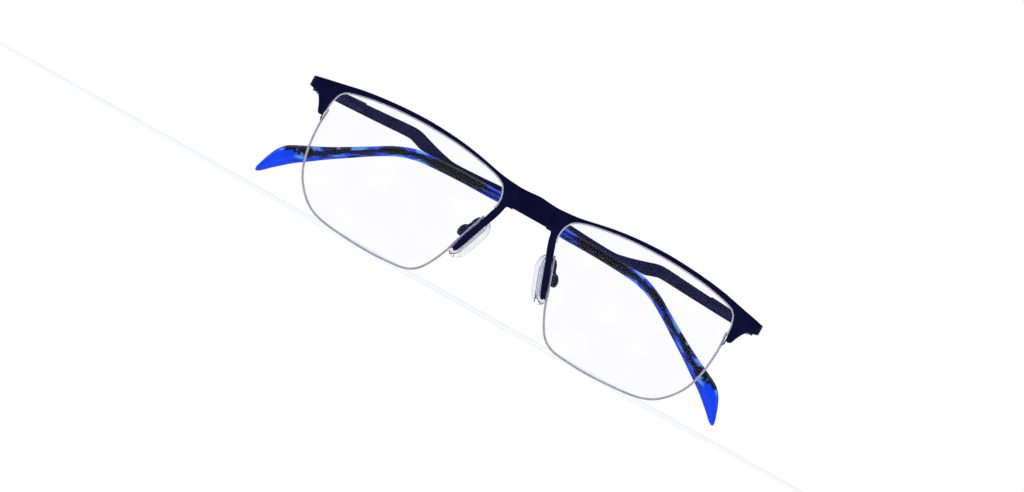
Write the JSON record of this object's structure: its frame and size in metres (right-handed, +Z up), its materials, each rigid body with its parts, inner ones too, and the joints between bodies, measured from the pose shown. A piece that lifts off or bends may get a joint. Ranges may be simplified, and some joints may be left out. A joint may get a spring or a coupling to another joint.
{
  "type": "half rim eyeglasses",
  "caption": "Half rim spectacles, folded: curved metal brow rims, clear lenses held below by nylon cords, spring hinged temples with mottled acetate tips and silicone nose pads.",
  "frame": {"origin": "middle of the part in width and depth, at the lowest point of the lenses' cords", "axes": "+Z up as worn, +Y back towards the wearer, +X to the right of a viewer in front; the front leans forward at the top by 8 degrees and the temples are folded"},
  "size_m": [0.1405, 0.0245, 0.0386],
  "materials": {
    "front_metal": "satin",
    "temple_metal": "satin",
    "hinge_metal": "satin",
    "core_metal": "satin",
    "steel": "polished",
    "lens": "clear",
    "liner": "clear",
    "nylon_cord": "clear",
    "silicone": "clear",
    "tip_acetate": "polished"
  },
  "bodies": {
    "front": {"bridge": "front_metal", "left_rim": "front_metal", "right_rim": "front_metal", "left_lens": "lens", "right_lens": "lens", "left_liner": "liner", "right_liner": "liner", "left_lens_cord": "nylon_cord", "right_lens_cord": "nylon_cord", "left_hinge_leaf": "hinge_metal", "right_hinge_leaf": "hinge_metal", "left_hinge_screw": "steel", "right_hinge_screw": "steel", "left_pad_arm": "hinge_metal", "right_pad_arm": "hinge_metal", "left_pad_box": "hinge_metal", "right_pad_box": "hinge_metal", "left_pad_screw": "steel", "right_pad_screw": "steel"},
    "left_pad_rocker": {"left_pad": "silicone", "left_pad_stem": "steel"},
    "left_eye": {"left_hinge_eye": "steel", "left_spring": "steel"},
    "left_temple": {"left_spring_housing": "temple_metal", "left_spring_plug": "steel", "left_temple_blade": "temple_metal", "left_core_wire": "core_metal", "left_temple_tip": "tip_acetate"},
    "right_pad_rocker": {"right_pad": "silicone", "right_pad_stem": "steel"},
    "right_eye": {"right_hinge_eye": "steel", "right_spring": "steel"},
    "right_temple": {"right_spring_housing": "temple_metal", "right_spring_plug": "steel", "right_temple_blade": "temple_metal", "right_core_wire": "core_metal", "right_temple_tip": "tip_acetate"}
  },
  "joints": [
    {"name": "left_temple_fold", "type": "hinge", "parent": "front", "child": "left_eye", "pos_m": [-0.0654, -0.00025, 0.0323], "axis": [0, 0, 1], "range_deg": [0, 87]},
    {"name": "left_spring_travel", "type": "slide", "parent": "left_eye", "child": "left_temple", "axis": [0.9954, 0.0696, 0.0654], "range_m": [0, 0.0015], "stiffness_N_per_m": 1500, "springref_m": -0.001, "deforming": ["left_spring"]},
    {"name": "left_pad_rock", "type": "hinge", "parent": "front", "child": "left_pad_rocker", "pos_m": [-0.01275, -0.00405, 0.01701], "axis": [-0.4698, 0.866, 0.171], "range_deg": [-10, 10]},
    {"name": "right_temple_fold", "type": "hinge", "parent": "front", "child": "right_eye", "pos_m": [0.0654, -0.00025, 0.0323], "axis": [0, 0, -1], "range_deg": [0, 29]},
    {"name": "right_spring_travel", "type": "slide", "parent": "right_eye", "child": "right_temple", "axis": [-0.9979, 0, 0.0654], "range_m": [0, 0.0015], "stiffness_N_per_m": 1500, "springref_m": -0.001, "deforming": ["right_spring"]},
    {"name": "right_pad_rock", "type": "hinge", "parent": "front", "child": "right_pad_rocker", "pos_m": [0.01275, -0.00405, 0.01701], "axis": [0.4698, 0.866, 0.171], "range_deg": [-10, 10]}
  ],
  "couplings": [
    {"joint": "right_temple_fold", "follows": "left_temple_fold", "ratio": 0.33333}
  ]
}
